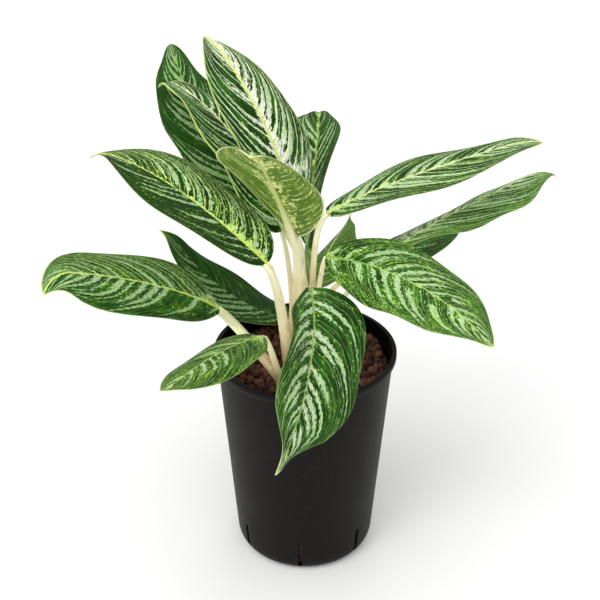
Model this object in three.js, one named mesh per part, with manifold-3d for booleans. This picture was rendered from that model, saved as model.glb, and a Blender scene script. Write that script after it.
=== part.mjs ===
// Potted Chinese evergreen: variegated leaves on three leafy shoots, standing in
// fired clay pebbles in a tapered black culture pot with drain slits.
// Millimetres, +Z up. The origin is the centre of the pot's flat base.
import * as THREE from 'three';
import { mergeVertices } from 'three/addons/utils/BufferGeometryUtils.js';
import Module from 'manifold-3d';

const wasm = await Module();
wasm.setup();

// Pot: a thin tapered wall with a rounded foot and a rolled lip.
const pot = {
  height: 190,
  lipRadius: 75,
  lipHeight: 5,
  lipRound: 1.2,
  wallTopRadius: 72.3,
  footRadius: 58,
  cornerRadius: 13,
  wall: 1.6,
  floor: 2.4,
  segments: 48,
};

// Drain slits through the wall, just above the foot.
const slits = { count: 7, first: -94, bottom: 3.5, top: 32, width: 3, reach: 30 };

// Clay pebbles: one settled filling whose top is covered with rounded stones.
const pebbles = {
  surface: 172,
  stone: 6.6,
  spacing: 12,
  jitter: 1.8,
  sunk: 1.3,
  wallGap: 0.4,
  holeGap: 0.4,
  seed: 20261,
};

// Leaf blade thicknesses, and the share of the half width at which each is read.
const blade = {
  steps: 14,
  across: [-1, -0.66, -0.28, 0, 0.28, 0.66, 1],
  thickness: [0.8, 0.9, 1.1, 2.2, 1.1, 0.9, 0.8],
  baseHalf: 2,
  tipHalf: 0.6,
  cup: 0.17,
  hookFrom: 0.82,
  hookEase: 1.5,
  rippleLag: 120,
  rippleFull: 12,
  integration: 64,
};

// Petioles: the leaves' stalks, which start inside their cane and end just short of the blade.
const petiole = { steps: 9, sides: 7, gap: 0.5, sink: 1.4 };

// Canes: the short upright stems that the petioles sheathe.
const canes = {
  main: { foot: [-11, -16], top: [-9, -18, 206], lowRadius: 7, highRadius: 5.5 },
  left: { foot: [-14, -38], top: [-19, -39, 190], lowRadius: 5.8, highRadius: 5.2 },
  right: { foot: [4, -6], top: [3, -8, 206], lowRadius: 6, highRadius: 5 },
};
const cane = { bottom: 140, sides: 12, steps: 5 };

// One entry for each leaf. base: the foot of its blade; heading: compass direction from
// +X, anticlockwise; rise: angle above level; droop: how far the tip bends down, late when
// ease is high; sweep: sideways turn; roll and twist: turn about the midrib at the foot and
// over the length; belly and taper: exponents of the outline; skew: one half fuller near
// the foot and the other near the tip; uneven: the left half wider; fold: each half raised
// into a V; hook: extra bend of the tip; wave, waves and phase: ripple of the margins.
// stalk: the height on its cane, how far out of the axis it starts, how much it leans from
// upright towards the blade, how long it keeps the directions of its ends, and its radii.
const leaves = [
  { name: 'blade_crown', base: [-7, -17, 308], heading: 150, rise: 81, droop: 61, ease: 1.15, sweep: -25,
    roll: 3, twist: 7, length: 173, width: 76, belly: 0.7, taper: 0.95, skew: -0.2, uneven: -0.05,
    fold: 10, hook: 23, wave: 1, waves: 2.2, phase: 90,
    stalk: { shoot: 'right', joint: 196, push: 2, lean: 0.3, leave: 0.45, arrive: 0.15,
      low: 2.6, high: 2.2 } },
  { name: 'blade_back_left', base: [-31, 35, 300], heading: 147, rise: 37, droop: 9, ease: 1.65, sweep: -45,
    roll: -18, twist: 11, length: 182, width: 58, belly: 0.55, taper: 0.85, skew: -0.15, uneven: 0.05,
    fold: 7, hook: 28, wave: 3.5, waves: 3.2, phase: -40,
    stalk: { shoot: 'right', joint: 190, push: 1, lean: 0, leave: 0.5, arrive: 0.4, low: 2.6, high: 1.8 } },
  { name: 'blade_upper_left', base: [-18, 14, 290], heading: 146, rise: 71, droop: 76, ease: 1.05,
    sweep: -14,
    roll: 0, twist: 13, length: 182, width: 63, belly: 0.65, taper: 1.05, skew: 0.2, uneven: -0.05,
    fold: 9, hook: 41, wave: 2, waves: 2.9, phase: 80,
    stalk: { shoot: 'main', joint: 198, push: 1, lean: 0, leave: 0.75, arrive: 0.15,
      low: 2.3, high: 1.8 } },
  { name: 'blade_left', base: [-28, -67, 304], heading: 142, rise: 26, droop: 29, ease: 2.1, sweep: 9,
    roll: 1, twist: -2, length: 179, width: 69, belly: 0.7, taper: 1.15, skew: 0, uneven: -0.05,
    fold: 14, hook: 41, wave: 3.5, waves: 1.5, phase: -40,
    stalk: { shoot: 'main', joint: 178, push: 5, lean: 0.75, leave: 0.3, arrive: 0.1,
      low: 4.7, high: 3.3 } },
  { name: 'blade_underside', base: [-7, -70, 328], heading: 244, rise: 59, droop: 32, ease: 1.15, sweep: 24,
    roll: -22, twist: 11, length: 166, width: 76, belly: 0.9, taper: 1.05, skew: -0.1, uneven: 0.02,
    fold: 9, hook: 26, wave: 1, waves: 1.7, phase: 170,
    stalk: { shoot: 'main', joint: 200, push: 1, lean: 0.35, leave: 0.4, arrive: 0.25,
      low: 5, high: 4.4 } },
  { name: 'blade_back_centre', base: [2, 25, 270], heading: 76, rise: 92, droop: 106, ease: 0.75, sweep: 16,
    roll: -65, twist: 74, length: 159, width: 61, belly: 0.65, taper: 1.05, skew: -0.1, uneven: 0.05,
    fold: 26, hook: 20, wave: 4, waves: 1.4, phase: 150,
    stalk: { shoot: 'right', joint: 192, push: 2, lean: 0.3, leave: 0.45, arrive: 0.2,
      low: 3.2, high: 5.4 } },
  { name: 'blade_right_upper', base: [16, 2, 311], heading: 13, rise: 28, droop: 20, ease: 0.5, sweep: 2,
    roll: -3, twist: 2, length: 182, width: 57, belly: 0.55, taper: 0.7, skew: 0.1, uneven: 0,
    fold: 6, hook: 21, wave: 2, waves: 1.8, phase: 170,
    stalk: { shoot: 'right', joint: 200, push: 1, lean: 0.35, leave: 0.5, arrive: 0.12,
      low: 2.8, high: 2.2 } },
  { name: 'blade_right_middle', base: [67, -15, 288], heading: 55, rise: 1, droop: -23, ease: 1.5,
    sweep: -41,
    roll: -24, twist: 10, length: 182, width: 72, belly: 0.75, taper: 0.9, skew: 0.4, uneven: 0,
    fold: -4, hook: 69, wave: 1.5, waves: 2.7, phase: 170,
    stalk: { shoot: 'right', joint: 192, push: 1, lean: 0, leave: 0.6, arrive: 0.35,
      low: 2.6, high: 2 } },
  { name: 'blade_right_shaded', base: [47, 39, 232], heading: 47, rise: 13, droop: 25, ease: 0.95,
    sweep: -2,
    roll: -2, twist: -1, length: 145, width: 48, belly: 0.7, taper: 1.05, skew: 0, uneven: 0,
    fold: 5, hook: 3, wave: 0.5, waves: 2.3, phase: -20,
    stalk: { shoot: 'right', joint: 186, push: 1, lean: 0.2, leave: 0.5, arrive: 0.3, low: 2.6, high: 2 } },
  { name: 'blade_right_front', base: [15, -36, 293], heading: -22, rise: 10, droop: 23, ease: 0.5,
    sweep: -43,
    roll: 19, twist: -26, length: 159, width: 73, belly: 0.55, taper: 0.8, skew: 0.15, uneven: 0.05,
    fold: 2, hook: -5, wave: 1.5, waves: 2.5, phase: -160,
    stalk: { shoot: 'right', joint: 194, push: 1, lean: 1, leave: 0.3, arrive: 0.03,
      low: 2.2, high: 1.9 } },
  { name: 'blade_front', base: [3, -65, 283], heading: 278, rise: 2, droop: 34, ease: 0.5, sweep: -34,
    roll: -27, twist: -48, length: 165, width: 76, belly: 0.75, taper: 0.85, skew: 0.3, uneven: 0.2,
    fold: 20, hook: -16, wave: 4.5, waves: 1.8, phase: 40,
    stalk: { shoot: 'main', joint: 186, push: 3, lean: 1, leave: 0.3, arrive: 0.03, low: 3.4, high: 2.4 } },
  { name: 'blade_small_front', base: [-32, -61, 239], heading: 228, rise: 17, droop: 23, ease: 0.7,
    sweep: 9,
    roll: 7, twist: 13, length: 112, width: 56, belly: 0.7, taper: 0.75, skew: -0.1, uneven: 0.05,
    fold: -1, hook: -21, wave: 2, waves: 1.3, phase: -70,
    stalk: { shoot: 'left', joint: 182, push: 3, lean: 0.9, leave: 0.25, arrive: 0.08, low: 3, high: 2.2 } },
  { name: 'blade_left_lower', base: [-64, -54, 258], heading: 219, rise: 46, droop: 23, ease: 0.5, sweep: 8,
    roll: -33, twist: 2, length: 173, width: 58, belly: 0.65, taper: 0.75, skew: -0.2, uneven: 0,
    fold: 3, hook: 95, wave: 3, waves: 1.4, phase: -130,
    stalk: { shoot: 'left', joint: 180, push: 1, lean: 0.8, leave: 0.35, arrive: 0.15,
      low: 4.8, high: 3.6 } },
  { name: 'blade_back_lower', base: [-13, 34, 198], heading: 142, rise: -15, droop: -77, ease: 0.9,
    sweep: 20,
    roll: 2, twist: -3, length: 148, width: 54, belly: 0.7, taper: 1.05, skew: 0, uneven: 0,
    fold: 5, hook: 55, wave: 2, waves: 2.2, phase: -70,
    stalk: { shoot: 'main', joint: 178, push: 3, lean: 0.8, leave: 0.3, arrive: 0.2,
      low: 2.8, high: 1.9 } },
  { name: 'blade_back_right', base: [11, 40, 224], heading: 87, rise: 10, droop: -12, ease: 1.6, sweep: -34,
    roll: -8, twist: -47, length: 96, width: 53, belly: 0.7, taper: 0.8, skew: 0, uneven: 0,
    fold: 0, hook: -46, wave: 1, waves: 3.2, phase: -90,
    stalk: { shoot: 'right', joint: 188, push: 2, lean: 0.4, leave: 0.4, arrive: 0.2,
      low: 2.6, high: 1.8 } },
];

const colours = {
  pot: 0x2b2929,
  pebbles: 0x7d4a3c,
  shoot: 0xddd2a4,
  leaf: 0x2f6b2c,
};

const radians = THREE.MathUtils.degToRad;

// Direction of the midrib, and the two directions across it, at u = 0 foot to 1 tip.
function leafAxes(leaf, u) {
  const hook = leaf.hook * Math.max(0, (u - blade.hookFrom) / (1 - blade.hookFrom)) ** blade.hookEase;
  const rise = radians(leaf.rise - leaf.droop * u ** leaf.ease - hook);
  const heading = radians(leaf.heading + leaf.sweep * u);
  const turn = radians(leaf.roll + leaf.twist * u);
  const along = new THREE.Vector3(
    Math.cos(rise) * Math.cos(heading), Math.cos(rise) * Math.sin(heading), Math.sin(rise));
  const level = new THREE.Vector3(-Math.sin(heading), Math.cos(heading), 0);
  const above = new THREE.Vector3().crossVectors(along, level);
  const side = level.clone().multiplyScalar(Math.cos(turn)).addScaledVector(above, Math.sin(turn));
  const up = above.multiplyScalar(Math.cos(turn)).addScaledVector(level, -Math.sin(turn));
  return { along, side, up };
}

// The midrib is stepped out from the foot of the blade along its direction.
function midribPoint(leaf, u) {
  const point = new THREE.Vector3(...leaf.base);
  const steps = Math.round(u * blade.integration);
  for (let i = 0; i < steps; i += 1) {
    const { along } = leafAxes(leaf, (i + 0.5) / blade.integration);
    point.addScaledVector(along, leaf.length / blade.integration);
  }
  return point;
}

// Half width as a share of the widest: u^belly (1-u)^taper, scaled to peak at one.
function outlineShare(leaf, u) {
  const { belly, taper } = leaf;
  const peak = belly / (belly + taper);
  return (u ** belly * (1 - u) ** taper) / (peak ** belly * (1 - peak) ** taper);
}

// The margins ripple, the right one after the left, less where the blade is narrow.
function ripple(leaf, u, v, half) {
  const lag = v > 0 ? 0 : blade.rippleLag;
  const swing = Math.sin(2 * Math.PI * leaf.waves * u + radians(leaf.phase + lag));
  return leaf.wave * swing * Math.abs(v) ** 3 * Math.min(1, half / blade.rippleFull);
}

// A point of the blade's upper face, v = -1 right margin to 1 left margin.
function bladePoint(leaf, u, v, centre, axes) {
  const hand = Math.sign(v);
  const share = outlineShare(leaf, u ** (1 - hand * leaf.skew)) * (1 + hand * leaf.uneven);
  const half = (leaf.width / 2) * share + blade.baseHalf * (1 - u) + blade.tipHalf * u;
  const fold = radians(leaf.fold);
  const lift = half * Math.abs(v) * Math.sin(fold) - blade.cup * half * v * v;
  return centre.clone()
    .addScaledVector(axes.side, half * v * Math.cos(fold))
    .addScaledVector(axes.up, lift + ripple(leaf, u, v, half));
}

function geometryFrom(positions, triangles) {
  const geometry = new THREE.BufferGeometry();
  geometry.setAttribute('position', new THREE.Float32BufferAttribute(positions, 3));
  geometry.setIndex(triangles);
  return geometry;
}

// A grid of rings joined in order and closed at both ends with a fan on a centre point.
function closedRings(rings) {
  const positions = [];
  const triangles = [];
  const count = rings[0].length;
  for (const ring of rings) {
    for (const point of ring) positions.push(point.x, point.y, point.z);
  }
  for (let i = 0; i + 1 < rings.length; i += 1) {
    for (let j = 0; j < count; j += 1) {
      const a = i * count + j;
      const b = i * count + ((j + 1) % count);
      triangles.push(a, b, b + count, a, b + count, a + count);
    }
  }
  const ends = [rings[0], rings[rings.length - 1]];
  ends.forEach((ring, end) => {
    const centre = new THREE.Vector3();
    for (const point of ring) centre.addScaledVector(point, 1 / count);
    const hub = positions.length / 3;
    positions.push(centre.x, centre.y, centre.z);
    const start = end * (rings.length - 1) * count;
    for (let j = 0; j < count; j += 1) {
      const a = start + j;
      const b = start + ((j + 1) % count);
      triangles.push(...(end ? [a, b, hub] : [b, a, hub]));
    }
  });
  return geometryFrom(positions, triangles);
}

// A blade: the upper face's rows, and the same rows let down by its thickness.
// Both faces are split into triangles along the same diagonals.
function bladeGeometry(leaf) {
  const positions = [];
  const triangles = [];
  const across = blade.across.length;
  const rows = blade.steps + 1;
  for (const lower of [0, 1]) {
    for (let i = 0; i < rows; i += 1) {
      const u = i / blade.steps;
      const axes = leafAxes(leaf, u);
      const centre = midribPoint(leaf, u);
      blade.across.forEach((v, j) => {
        const point = bladePoint(leaf, u, v, centre, axes);
        point.addScaledVector(axes.up, -lower * blade.thickness[j]);
        positions.push(point.x, point.y, point.z);
      });
    }
  }
  const under = rows * across;
  for (let i = 0; i + 1 < rows; i += 1) {
    for (let j = 0; j + 1 < across; j += 1) {
      const a = i * across + j;
      const c = a + across;
      triangles.push(a, c, c + 1, a, c + 1, a + 1);
      triangles.push(under + a, under + c + 1, under + c, under + a, under + a + 1, under + c + 1);
    }
  }
  const edge = [];
  for (let j = 0; j < across; j += 1) edge.push(j);
  for (let i = 1; i < rows; i += 1) edge.push(i * across + across - 1);
  for (let j = across - 2; j >= 0; j -= 1) edge.push((rows - 1) * across + j);
  for (let i = rows - 2; i > 0; i -= 1) edge.push(i * across);
  edge.forEach((a, k) => {
    const b = edge[(k + 1) % edge.length];
    triangles.push(a, b, under + b, a, under + b, under + a);
  });
  return geometryFrom(positions, triangles);
}

// A round stalk along a curve, its radius running evenly from low to high.
function stalkGeometry(curve, lowRadius, highRadius, steps, sides) {
  const frames = curve.computeFrenetFrames(steps, false);
  const rings = [];
  for (let i = 0; i <= steps; i += 1) {
    const centre = curve.getPointAt(i / steps);
    const radius = THREE.MathUtils.lerp(lowRadius, highRadius, i / steps);
    const ring = [];
    for (let j = 0; j < sides; j += 1) {
      const angle = (2 * Math.PI * j) / sides;
      ring.push(centre.clone()
        .addScaledVector(frames.normals[i], radius * Math.cos(angle))
        .addScaledVector(frames.binormals[i], radius * Math.sin(angle)));
    }
    rings.push(ring);
  }
  return closedRings(rings);
}

function toSolid(source) {
  const bare = source.clone();
  bare.deleteAttribute('normal');
  bare.deleteAttribute('uv');
  const merged = mergeVertices(bare, 1e-4);
  return new wasm.Manifold(new wasm.Mesh({
    numProp: 3,
    vertProperties: new Float32Array(merged.attributes.position.array),
    triVerts: new Uint32Array(merged.index.array),
  }));
}

function fromSolid(solid) {
  const mesh = solid.getMesh();
  return geometryFrom(Array.from(mesh.vertProperties), Array.from(mesh.triVerts));
}

// The stalk leaves its cane between upright and the line to the blade, and comes in along
// the midrib, a little below the blade's upper face.
function petioleCurve(leaf) {
  const { stalk } = leaf;
  const own = canes[stalk.shoot];
  const share = (stalk.joint - pebbles.surface) / (own.top[2] - pebbles.surface);
  const axis = new THREE.Vector3(
    THREE.MathUtils.lerp(own.foot[0], own.top[0], share),
    THREE.MathUtils.lerp(own.foot[1], own.top[1], share),
    stalk.joint);
  const { along, up } = leafAxes(leaf, 0);
  const end = new THREE.Vector3(...leaf.base)
    .addScaledVector(along, -petiole.gap)
    .addScaledVector(up, -petiole.sink);
  const outward = end.clone().sub(axis).setZ(0).normalize();
  const start = axis.addScaledVector(outward, stalk.push);
  const chord = end.clone().sub(start);
  const length = chord.length();
  const direction = new THREE.Vector3(0, 0, 1).lerp(chord.normalize(), stalk.lean).normalize();
  const leave = start.clone().addScaledVector(direction, length * stalk.leave);
  const arrive = end.clone().addScaledVector(along, -length * stalk.arrive);
  return new THREE.CubicBezierCurve3(start, leave, arrive, end);
}

function caneGeometry(own, extra) {
  const curve = new THREE.LineCurve3(
    new THREE.Vector3(own.foot[0], own.foot[1], cane.bottom - extra),
    new THREE.Vector3(...own.top));
  const [low, high] = [own.lowRadius + extra, own.highRadius + extra];
  return stalkGeometry(curve, low, high, cane.steps, cane.sides);
}

// A cane with its petioles, thicker by extra where it is used to cut its own hole.
function shootSolid(shoot, extra) {
  let solid = toSolid(caneGeometry(canes[shoot], extra));
  for (const leaf of leaves.filter((row) => row.stalk.shoot === shoot)) {
    const [low, high] = [leaf.stalk.low + extra, leaf.stalk.high + extra];
    solid = solid.add(toSolid(stalkGeometry(petioleCurve(leaf), low, high, petiole.steps, petiole.sides)));
  }
  return solid;
}

// Outer radius of the tapered wall at a height.
function wallRadius(z) {
  return THREE.MathUtils.lerp(pot.footRadius, pot.wallTopRadius, z / (pot.height - pot.lipHeight));
}

function potGeometry() {
  const profile = new THREE.Path();
  const lipFoot = pot.height - pot.lipHeight;
  const corner = pot.cornerRadius;
  const inner = corner - pot.wall;
  profile.moveTo(0, 0);
  profile.lineTo(wallRadius(0) - corner, 0);
  profile.quadraticCurveTo(wallRadius(0), 0, wallRadius(corner), corner);
  profile.lineTo(wallRadius(lipFoot), lipFoot);
  profile.lineTo(pot.lipRadius - pot.lipRound, lipFoot);
  profile.quadraticCurveTo(pot.lipRadius, lipFoot, pot.lipRadius, lipFoot + pot.lipRound);
  profile.lineTo(pot.lipRadius, pot.height - pot.lipRound);
  profile.quadraticCurveTo(pot.lipRadius, pot.height, pot.lipRadius - pot.lipRound, pot.height);
  profile.lineTo(wallRadius(pot.height) - pot.wall, pot.height);
  profile.lineTo(wallRadius(corner) - pot.wall, corner);
  profile.quadraticCurveTo(wallRadius(0) - pot.wall, pot.floor, wallRadius(0) - pot.wall - inner, pot.floor);
  profile.lineTo(0, pot.floor);
  const points = profile.getPoints(3).filter((p, i, all) => i === 0 || p.distanceTo(all[i - 1]) > 1e-3);
  let solid = toSolid(new THREE.LatheGeometry(points, pot.segments).rotateX(Math.PI / 2));
  for (let i = 0; i < slits.count; i += 1) {
    const angle = radians(slits.first + (360 * i) / slits.count);
    const tall = slits.top - slits.bottom;
    const cutter = new THREE.BoxGeometry(slits.reach, slits.width, tall);
    cutter.translate(wallRadius(0), 0, slits.bottom + tall / 2);
    cutter.rotateZ(angle);
    solid = solid.subtract(toSolid(cutter));
  }
  return fromSolid(solid);
}

// A small repeatable source of random numbers between 0 and 1.
function randomSource(seed) {
  let state = seed;
  return () => {
    state = (state * 1664525 + 1013904223) % 4294967296;
    return state / 4294967296;
  };
}

// The filling follows the pot's inner wall; its stones lie on a jittered hexagonal grid.
function pebbleGeometry() {
  const low = pot.floor + pebbles.wallGap;
  const corner = pot.cornerRadius;
  const inset = pot.wall + pebbles.wallGap;
  const points = [
    new THREE.Vector2(0, low),
    new THREE.Vector2(wallRadius(0) - corner - inset, low),
    new THREE.Vector2(wallRadius(corner) - inset - 1, corner),
    new THREE.Vector2(wallRadius(pebbles.surface) - inset - 0.6, pebbles.surface),
    new THREE.Vector2(0, pebbles.surface),
  ];
  let solid = toSolid(new THREE.LatheGeometry(points, pot.segments).rotateX(Math.PI / 2));
  const random = randomSource(pebbles.seed);
  const limit = wallRadius(pebbles.surface) - inset - 0.8 - pebbles.stone;
  const rowStep = (pebbles.spacing * Math.sqrt(3)) / 2;
  const rows = Math.ceil(limit / rowStep) + 1;
  const stones = [];
  for (let row = -rows; row <= rows; row += 1) {
    for (let column = -rows; column <= rows; column += 1) {
      const x = (column + (row % 2 === 0 ? 0 : 0.5)) * pebbles.spacing + (random() - 0.5) * pebbles.jitter;
      const y = row * rowStep + (random() - 0.5) * pebbles.jitter;
      const size = pebbles.stone * (0.86 + 0.28 * random());
      const squash = 0.75 + 0.25 * random();
      const spin = random() * Math.PI;
      if (Math.hypot(x, y) > limit + 1.5) continue;
      const pull = Math.min(1, limit / Math.max(Math.hypot(x, y), 1));
      const stone = new THREE.IcosahedronGeometry(Math.min(size, pebbles.stone), 0);
      stone.scale(1, squash, 0.8);
      stone.rotateX(spin);
      stone.rotateZ(spin * 2);
      stone.translate(x * pull, y * pull, pebbles.surface + pebbles.sunk * (random() - 0.3));
      stones.push(toSolid(stone));
    }
  }
  for (const stone of stones) solid = solid.add(stone);
  for (const shoot of Object.keys(canes)) {
    solid = solid.subtract(shootSolid(shoot, pebbles.holeGap));
  }
  return fromSolid(solid);
}

function namedMesh(name, geometry, color, roughness) {
  geometry.computeVertexNormals();
  const mesh = new THREE.Mesh(geometry, new THREE.MeshStandardMaterial({ color, roughness, metalness: 0 }));
  mesh.name = name;
  return mesh;
}

const plant = new THREE.Group();
plant.add(namedMesh('culture_pot', potGeometry(), colours.pot, 0.55));
plant.add(namedMesh('clay_pebbles', pebbleGeometry(), colours.pebbles, 0.9));
for (const shoot of Object.keys(canes)) {
  plant.add(namedMesh(`shoot_${shoot}`, fromSolid(shootSolid(shoot, 0)), colours.shoot, 0.5));
}
for (const leaf of leaves) {
  plant.add(namedMesh(leaf.name, bladeGeometry(leaf), colours.leaf, 0.4));
}

export default plant;
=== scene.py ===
# Potted Chinese evergreen: patterned blades on cream stalks, clay pebbles and a black culture pot.
import functools
import math

import bpy
import numpy as np
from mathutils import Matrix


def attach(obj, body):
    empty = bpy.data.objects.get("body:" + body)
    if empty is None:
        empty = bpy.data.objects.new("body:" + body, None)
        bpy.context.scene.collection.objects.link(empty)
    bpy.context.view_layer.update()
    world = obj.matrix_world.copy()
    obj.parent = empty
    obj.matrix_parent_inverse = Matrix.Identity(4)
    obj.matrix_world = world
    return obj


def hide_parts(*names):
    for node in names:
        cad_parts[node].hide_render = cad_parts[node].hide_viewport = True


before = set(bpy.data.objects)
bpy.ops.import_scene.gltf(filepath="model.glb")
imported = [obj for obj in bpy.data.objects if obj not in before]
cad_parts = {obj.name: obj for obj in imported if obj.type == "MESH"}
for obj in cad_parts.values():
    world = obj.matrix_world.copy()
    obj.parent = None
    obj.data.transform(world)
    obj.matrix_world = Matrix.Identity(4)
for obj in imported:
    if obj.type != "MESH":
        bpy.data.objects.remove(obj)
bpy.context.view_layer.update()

mm = 0.001


class Settings(dict):
    # a dictionary whose values are read with a dot
    __getattr__ = dict.__getitem__


def closedTube(points):
    # points[ring, place, xyz]: quads between neighbouring rings, and a fan on the mean of
    # each end ring; vertex (i, j) is at i * perRing + j
    rings, perRing, _ = points.shape
    i, j = np.meshgrid(np.arange(rings - 1), np.arange(perRing), indexing="ij")
    a = i * perRing + j
    b = i * perRing + (j + 1) % perRing
    quads = np.stack([a, b, b + perRing, a + perRing], -1).reshape(-1, 4)
    near = np.arange(perRing)
    far = (near + 1) % perRing
    last = (rings - 1) * perRing
    hub = np.full(perRing, rings * perRing)
    fans = np.concatenate([np.stack([far, near, hub], -1),
                           np.stack([last + near, last + far, hub + 1], -1)])
    hubs = np.stack([points[0].mean(0), points[-1].mean(0)])
    return np.concatenate([points.reshape(-1, 3), hubs]), quads, fans


def withHubs(values, rings):
    # one number for each vertex of a closed tube, the two hubs as the mean of their ring
    grid = values.reshape(rings, -1)
    return np.append(grid.ravel(), [grid[0].mean(), grid[-1].mean()])


def joined(parts):
    # several (vertices, quads, triangles) as one, with the indices moved on
    starts = np.cumsum([0] + [len(vertices) for vertices, _, _ in parts[:-1]])
    return (np.concatenate([vertices for vertices, _, _ in parts]),
            np.concatenate([quads + start for (_, quads, _), start in zip(parts, starts)]),
            np.concatenate([fans + start for (_, _, fans), start in zip(parts, starts)]))


def linked(name, data):
    item = bpy.data.objects.new(name, data)
    bpy.context.collection.objects.link(item)
    return item


def meshObject(name, vertices, faceSets, materials, slotOf=None, smooth=True):
    faces = [row for part in faceSets for row in part.tolist()]
    mesh = bpy.data.meshes.new(name)
    mesh.from_pydata(vertices.tolist(), [], faces)
    for material in materials:
        mesh.materials.append(material)
    if slotOf is not None:
        mesh.polygons.foreach_set("material_index", np.asarray(slotOf, dtype=np.int32))
    mesh.polygons.foreach_set("use_smooth", np.full(len(faces), smooth))
    mesh.update()
    return linked(name, mesh)


def pointValues(piece, name, values):
    # one number or one vector for each vertex, for the materials to read
    single = values.ndim == 1
    store = piece.data.attributes.new(name, "FLOAT" if single else "FLOAT_VECTOR", "POINT")
    store.data.foreach_set("value" if single else "vector", values.astype(np.float32).ravel())


def handOver(piece, slot, *nodes):
    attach(piece, "root")
    if nodes:
        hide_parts(*nodes)


class Graph:
    # the nodes of one material
    def __init__(self, name, roughness, gloss):
        self.material = bpy.data.materials.new(name)
        self.material.use_nodes = True
        self.tree = self.material.node_tree
        self.shader = self.tree.nodes["Principled BSDF"]
        self.toShader("Roughness", roughness)
        self.toShader("Specular IOR Level", gloss)

    def feed(self, socket, value):
        if isinstance(value, bpy.types.NodeSocket):
            self.tree.links.new(value, socket)
        else:
            socket.default_value = value

    def toShader(self, name, value):
        self.feed(self.shader.inputs[name], value)

    def add(self, kind, sockets, **settings):
        # the sockets are given by name or by number, each with a constant or a link
        node = self.tree.nodes.new("ShaderNode" + kind)
        for name, value in settings.items():
            setattr(node, name, value)
        for key, value in sockets.items():
            self.feed(node.inputs[key], value)
        return node

    def calc(self, operation, *values):
        return self.add("Math", dict(enumerate(values)), operation=operation).outputs[0]

    def plus(self, a, b):
        return self.calc("ADD", a, b)

    def minus(self, a, b):
        return self.calc("SUBTRACT", a, b)

    def times(self, a, b):
        return self.calc("MULTIPLY", a, b)

    def timesPlus(self, a, b, c):
        return self.calc("MULTIPLY_ADD", a, b, c)

    def between(self, value, low, high):
        # low where value is 0, high where it is 1
        return self.timesPlus(value, high - low, low)

    def over(self, a, b):
        return self.calc("DIVIDE", a, b)

    def rise(self, value, low, high):
        # 0 below low, 1 above high, smooth between
        return self.add("MapRange", {"Value": value, "From Min": low, "From Max": high},
                        interpolation_type="SMOOTHSTEP").outputs["Result"]

    def fall(self, value, low, high):
        return self.minus(1.0, self.rise(value, low, high))

    def blend(self, factor, a, b):
        # inputs 6 and 7 are the two colours, and output 2 is their mix
        a, b = (c if isinstance(c, bpy.types.NodeSocket) else (*c, 1.0) for c in (a, b))
        return self.add("Mix", {"Factor": factor, 6: a, 7: b}, data_type="RGBA").outputs[2]

    def coat(self, factor, colour):
        # one more layer over the paint so far
        self.paint = self.blend(factor, self.paint, colour)

    def done(self):
        self.toShader("Base Color", self.paint)
        return self.material

    def combine(self, *values):
        return self.add("CombineXYZ", dict(enumerate(values))).outputs[0]

    def separate(self, vector):
        return self.add("SeparateXYZ", {0: vector}).outputs

    def noise(self, vector, scale, detail=2.0, rough=0.5):
        return self.add("TexNoise", {"Vector": vector, "Scale": scale, "Detail": detail,
                                     "Roughness": rough}).outputs[0]

    def chance(self, value):
        # three repeatable random numbers for each whole number
        node = self.add("TexWhiteNoise", {"W": value}, noise_dimensions="1D")
        return self.separate(node.outputs["Color"])

    def stored(self, name, output="Fac"):
        return self.add("Attribute", {}, attribute_name=name).outputs[output]

    def place(self):
        return self.add("TexCoord", {}).outputs["Object"]

    def bump(self, height, strength, distance):
        node = self.add("Bump", {"Height": height, "Strength": strength, "Distance": distance})
        self.toShader("Normal", node.outputs[0])


def palette(**colours):
    # colours are written as seen on screen, 0 to 255, and turned to scene-linear here
    seen = {name: np.array(rgb) / 255.0 for name, rgb in colours.items()}
    return Settings({
        name: tuple(np.where(c <= 0.04045, c / 12.92, ((c + 0.055) / 1.055) ** 2.4).tolist())
        for name, c in seen.items()})


def buildCamera():
    view = Settings(aim=(-4.2, 0.0, 235.0), distance=950.0, elevation=29.9, lens=71.2, sensor=36.0)
    tilt = math.radians(view.elevation)
    back = np.array([0, -math.cos(tilt), math.sin(tilt)]) * view.distance
    data = bpy.data.cameras.new("camera")
    data.lens = view.lens
    data.sensor_width = view.sensor
    camera = linked("camera", data)
    camera.location = (np.array(view.aim) + back) * mm
    camera.rotation_euler = (math.pi / 2 - tilt, 0.0, 0.0)
    bpy.context.scene.camera = camera
    print("camera placed")


# Each leaf's shape, in millimetres and degrees, with the same names as in the solids.
# stalk: cane, height on it, how far out of its axis, lean, leave, arrive, radii low and high.
def leafRow(name, base, rise, turn, size, outline, fold, wave, stalk, **look):
    names = ("heading", "lift", "droop", "ease", "sweep", "roll", "twist", "length", "width",
             "belly", "taper", "skew", "uneven", "fold", "hook", "wave", "waves", "phase",
             "shoot", "joint", "push", "lean", "leave", "arrive", "low", "high")
    row = zip(names, (*rise, *turn, *size, *outline, *fold, *wave, *stalk))
    return Settings(lookDefaults, node="blade_" + name, base=base, **dict(row), **look)


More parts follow.
